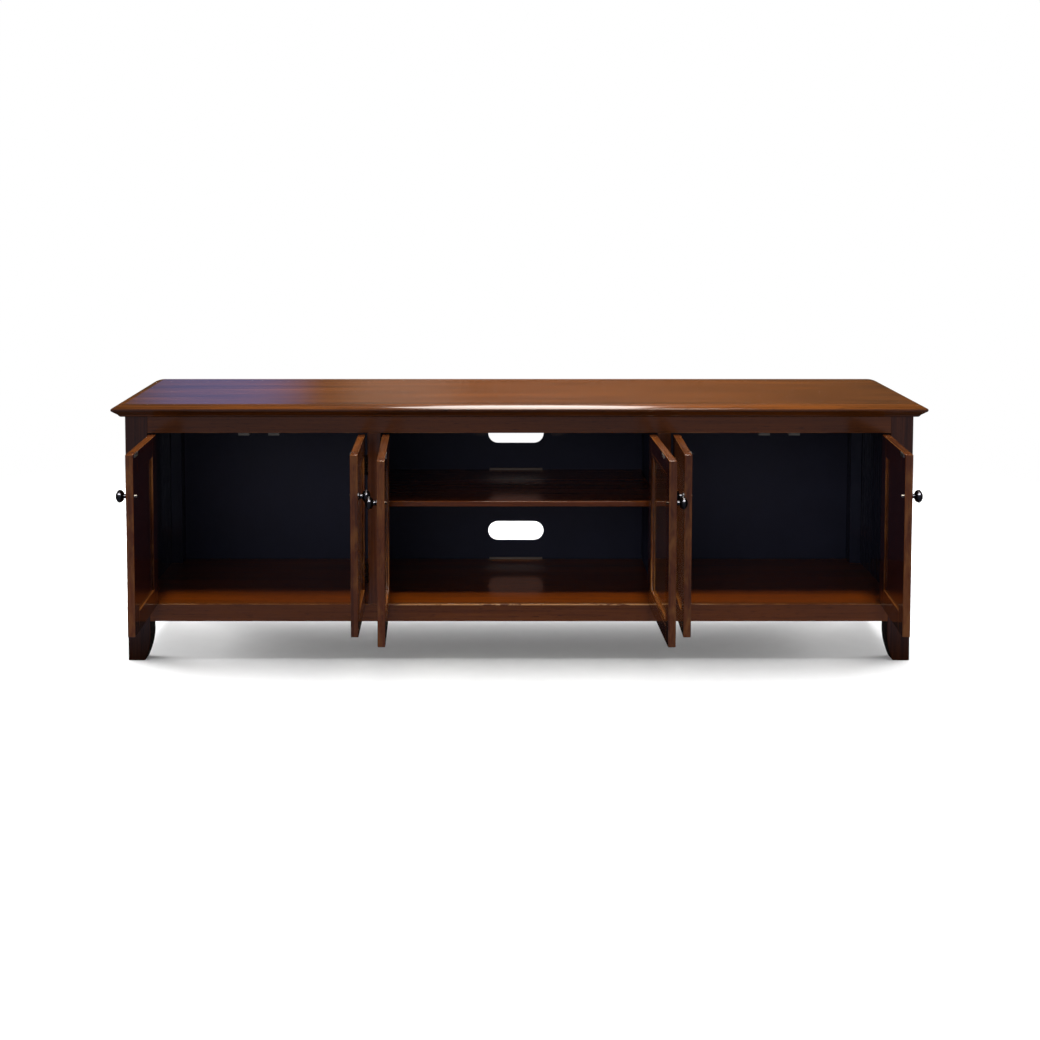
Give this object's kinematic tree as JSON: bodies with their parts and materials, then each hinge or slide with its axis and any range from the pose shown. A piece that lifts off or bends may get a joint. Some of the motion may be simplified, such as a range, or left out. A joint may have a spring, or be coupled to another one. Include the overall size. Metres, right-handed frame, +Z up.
{
  "type": "tv stand",
  "caption": "Low dark-stained wooden TV stand with a moulded top, square legs, bays behind hinged panel and glass doors, a shelf and cable slots in the back.",
  "frame": {"origin": "on the floor, under the middle of the carcass between the legs", "axes": "+X to the right of a viewer in front, +Y to the back, +Z up"},
  "size_m": [1.829, 0.7202, 0.588],
  "materials": {
    "stained_wood": "dark stained, satin lacquer",
    "dark_board": "near-black painted fibreboard",
    "raw_batten": "unstained softwood",
    "clear_glass": "clear float glass",
    "black_nickel": "black nickel, polished",
    "plated_steel": "nickel plated",
    "catch_grey": "moulded grey"
  },
  "bodies": {
    "carcass": {"back_panel_screws": "plated_steel", "bottom_front_rail": "stained_wood", "bottom_panel": "stained_wood", "bottom_rear_rail": "stained_wood", "cable_slot_stops": "raw_batten", "centre_back_panel": "dark_board", "floor_cleats": "raw_batten", "frame_hinge_leaves": "plated_steel", "front_left_leg": "stained_wood", "front_right_leg": "stained_wood", "left_back_panel": "dark_board", "left_divider": "stained_wood", "left_divider_stile": "stained_wood", "left_side_panel": "stained_wood", "magnetic_catches": "catch_grey", "media_shelf": "stained_wood", "rear_left_leg": "stained_wood", "rear_right_leg": "stained_wood", "right_back_panel": "dark_board", "right_divider": "stained_wood", "right_divider_stile": "stained_wood", "right_side_panel": "stained_wood", "shelf_pins": "plated_steel", "top_cleats": "raw_batten", "top_front_rail": "stained_wood", "top_panel": "stained_wood", "top_rear_rail": "stained_wood", "top_screws": "plated_steel"},
    "far_left_door": {"far_left_door_fittings": "plated_steel", "far_left_door_knob": "black_nickel", "far_left_door_panel": "stained_wood", "far_left_door_rails": "stained_wood", "far_left_door_stiles": "stained_wood"},
    "left_inner_door": {"left_inner_door_fittings": "plated_steel", "left_inner_door_knob": "black_nickel", "left_inner_door_panel": "stained_wood", "left_inner_door_rails": "stained_wood", "left_inner_door_stiles": "stained_wood"},
    "centre_left_door": {"centre_left_door_fittings": "plated_steel", "centre_left_door_glass": "clear_glass", "centre_left_door_glass_beads": "stained_wood", "centre_left_door_knob": "black_nickel", "centre_left_door_rails": "stained_wood", "centre_left_door_stiles": "stained_wood"},
    "centre_right_door": {"centre_right_door_fittings": "plated_steel", "centre_right_door_glass": "clear_glass", "centre_right_door_glass_beads": "stained_wood", "centre_right_door_knob": "black_nickel", "centre_right_door_rails": "stained_wood", "centre_right_door_stiles": "stained_wood"},
    "right_inner_door": {"right_inner_door_fittings": "plated_steel", "right_inner_door_knob": "black_nickel", "right_inner_door_panel": "stained_wood", "right_inner_door_rails": "stained_wood", "right_inner_door_stiles": "stained_wood"},
    "far_right_door": {"far_right_door_fittings": "plated_steel", "far_right_door_knob": "black_nickel", "far_right_door_panel": "stained_wood", "far_right_door_rails": "stained_wood", "far_right_door_stiles": "stained_wood"}
  },
  "joints": [
    {"name": "far_left_door_hinge", "type": "hinge", "parent": "carcass", "child": "far_left_door", "pos_m": [-0.8368, -0.20625, 0.326], "axis": [0, 0, -1], "range_deg": [-88.5, 86.5]},
    {"name": "left_inner_door_hinge", "type": "hinge", "parent": "carcass", "child": "left_inner_door", "pos_m": [-0.3437, -0.20625, 0.326], "axis": [0, 0, 1], "range_deg": [-91, 0.8]},
    {"name": "centre_left_door_hinge", "type": "hinge", "parent": "carcass", "child": "centre_left_door", "pos_m": [-0.3113, -0.20625, 0.326], "axis": [0, 0, -1], "range_deg": [-88, 3.8]},
    {"name": "centre_right_door_hinge", "type": "hinge", "parent": "carcass", "child": "centre_right_door", "pos_m": [0.3113, -0.20625, 0.326], "axis": [0, 0, 1], "range_deg": [-91.5, 0.3]},
    {"name": "right_inner_door_hinge", "type": "hinge", "parent": "carcass", "child": "right_inner_door", "pos_m": [0.3437, -0.20625, 0.326], "axis": [0, 0, -1], "range_deg": [-91.5, 0.3]},
    {"name": "far_right_door_hinge", "type": "hinge", "parent": "carcass", "child": "far_right_door", "pos_m": [0.8368, -0.20625, 0.326], "axis": [0, 0, 1], "range_deg": [-86.2, 88.8]}
  ]
}
